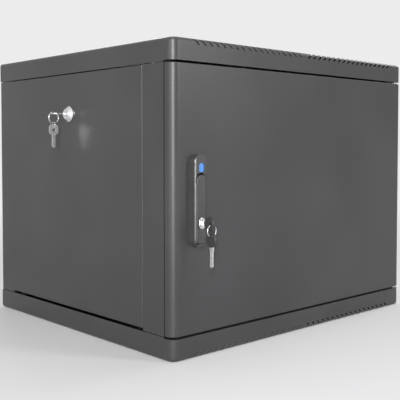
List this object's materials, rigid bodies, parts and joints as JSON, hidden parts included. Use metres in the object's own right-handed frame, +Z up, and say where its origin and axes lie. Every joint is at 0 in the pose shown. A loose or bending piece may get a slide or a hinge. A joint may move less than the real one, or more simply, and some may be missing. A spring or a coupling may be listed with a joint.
{
  "type": "wall mount network cabinet",
  "caption": "Wall mount rack cabinet of folded sheet steel with a hinged front door, swing handle, lockable side panels and perforated mounting rails.",
  "frame": {"origin": "centre of the underside of the floor pan", "axes": "+X right seen from the front, +Y to the wall behind, +Z up"},
  "size_m": [0.6501, 0.5605, 0.476],
  "materials": {
    "powder_coat": "satin black powder coat, fine texture",
    "zinc_steel": "zinc-plated steel",
    "black_screws": "black zinc",
    "handle_black": "semi-gloss black die casting",
    "badge_blue": "glossy blue insert",
    "chrome": "polished chrome",
    "plug_steel": "nickel-plated plug",
    "key_steel": "nickel-plated key",
    "key_plastic": "black moulded key head",
    "nylon": "natural nylon"
  },
  "bodies": {
    "cabinet": {"top_cover": "powder_coat", "bottom_cover": "powder_coat", "top_cable_plate": "powder_coat", "bottom_cable_plate": "powder_coat", "cable_plate_screws": "black_screws", "front_post_left": "powder_coat", "rear_post_left": "powder_coat", "front_post_right": "powder_coat", "rear_post_right": "powder_coat", "depth_rail_lower_left": "powder_coat", "depth_rail_upper_left": "powder_coat", "depth_rail_lower_right": "powder_coat", "depth_rail_upper_right": "powder_coat", "mounting_rail_front_left": "zinc_steel", "mounting_rail_rear_left": "zinc_steel", "mounting_rail_front_right": "zinc_steel", "mounting_rail_rear_right": "zinc_steel", "rear_panel": "powder_coat", "rear_panel_screws": "black_screws", "rail_bolts": "zinc_steel", "lower_hinge_pin": "zinc_steel", "hinge_washer": "nylon"},
    "door": {"door_panel": "powder_coat", "hinge_bracket_lower": "zinc_steel", "hinge_bracket_upper": "zinc_steel", "handle_base": "handle_black", "handle_badge": "badge_blue", "handle_clamp_plate": "zinc_steel", "handle_screws": "zinc_steel"},
    "hinge_pin": {"upper_hinge_pin": "zinc_steel"},
    "spindle": {"handle_spindle": "zinc_steel", "lever_pin": "zinc_steel", "latch_cam": "zinc_steel", "latch_cam_nut": "zinc_steel"},
    "lever": {"lever": "handle_black", "front_lock_barrel": "chrome"},
    "front_plug": {"front_lock_plug": "plug_steel"},
    "front_key": {"front_key_blade": "key_steel", "front_key_head": "key_plastic"},
    "front_ring": {"front_key_ring": "chrome"},
    "front_spare_key": {"front_spare_key_blade": "key_steel", "front_spare_key_head": "key_plastic"},
    "side_panel_left": {"side_panel_left": "powder_coat", "side_lock_barrel_left": "chrome", "side_lock_nut_left": "zinc_steel"},
    "side_plug_left": {"side_lock_plug_left": "plug_steel", "side_lock_cam_left": "zinc_steel"},
    "side_key": {"side_key": "key_steel"},
    "side_ring": {"side_key_ring": "chrome"},
    "side_link": {"side_key_link": "chrome"},
    "side_spare_key": {"side_spare_key": "key_steel"},
    "side_panel_right": {"side_panel_right": "powder_coat", "side_lock_barrel_right": "chrome", "side_lock_nut_right": "zinc_steel"},
    "side_plug_right": {"side_lock_plug_right": "plug_steel", "side_lock_cam_right": "zinc_steel"}
  },
  "joints": [
    {"name": "door_swing", "type": "hinge", "parent": "cabinet", "child": "door", "pos_m": [0.293, -0.2458, 0], "axis": [0, 0, 1], "range_deg": [0, 120]},
    {"name": "hinge_pin_pull", "type": "slide", "parent": "door", "child": "hinge_pin", "axis": [0, 0, -1], "range_m": [0, 0.011], "stiffness_N_per_m": 300, "springref_m": -0.006},
    {"name": "lever_turn", "type": "hinge", "parent": "door", "child": "spindle", "pos_m": [-0.255, -0.2575, 0.266], "axis": [0, -1, 0], "range_deg": [0, 90]},
    {"name": "lever_lift", "type": "hinge", "parent": "spindle", "child": "lever", "pos_m": [-0.255, -0.2645, 0.266], "axis": [-1, 0, 0], "range_deg": [0, 30]},
    {"name": "front_lock_turn", "type": "hinge", "parent": "lever", "child": "front_plug", "pos_m": [-0.255, -0.2575, 0.2037], "axis": [0, -1, 0], "range_deg": [0, 90]},
    {"name": "front_key_pull", "type": "slide", "parent": "front_plug", "child": "front_key", "axis": [0, -1, 0], "range_m": [0, 0.02]},
    {"name": "front_ring_swing", "type": "hinge", "parent": "front_key", "child": "front_ring", "pos_m": [-0.255, -0.293, 0.20262], "axis": [1, 0, 0], "range_deg": [-40, 20]},
    {"name": "front_spare_swing", "type": "hinge", "parent": "front_ring", "child": "front_spare_key", "pos_m": [-0.255, -0.293, 0.18542], "axis": [1, 0, 0], "range_deg": [-25, 25]},
    {"name": "side_panel_left_tilt", "type": "hinge", "parent": "cabinet", "child": "side_panel_left", "pos_m": [-0.3, 0, 0.0395], "axis": [0, -1, 0], "range_deg": [0, 25]},
    {"name": "side_lock_left_turn", "type": "hinge", "parent": "side_panel_left", "child": "side_plug_left", "pos_m": [-0.3, 0.0118, 0.3715], "axis": [-1, 0, 0], "range_deg": [0, 90]},
    {"name": "side_key_pull", "type": "slide", "parent": "side_plug_left", "child": "side_key", "axis": [-1, 0, 0], "range_m": [0, 0.03]},
    {"name": "side_ring_swing", "type": "hinge", "parent": "side_key", "child": "side_ring", "pos_m": [-0.3316, 0.0118, 0.37385], "axis": [1, 0, 0], "range_deg": [-20, 20]},
    {"name": "side_link_swing", "type": "hinge", "parent": "side_ring", "child": "side_link", "pos_m": [-0.3316, 0.0118, 0.35525], "axis": [1, 0, 0], "range_deg": [-20, 20]},
    {"name": "side_spare_swing", "type": "hinge", "parent": "side_link", "child": "side_spare_key", "pos_m": [-0.3316, 0.0118, 0.3473], "axis": [0, 1, 0], "range_deg": [-20, 20]},
    {"name": "side_panel_right_tilt", "type": "hinge", "parent": "cabinet", "child": "side_panel_right", "pos_m": [0.3, 0, 0.0395], "axis": [0, 1, 0], "range_deg": [0, 25]},
    {"name": "side_lock_right_turn", "type": "hinge", "parent": "side_panel_right", "child": "side_plug_right", "pos_m": [0.3, 0.0118, 0.3715], "axis": [1, 0, 0], "range_deg": [0, 90]}
  ]
}
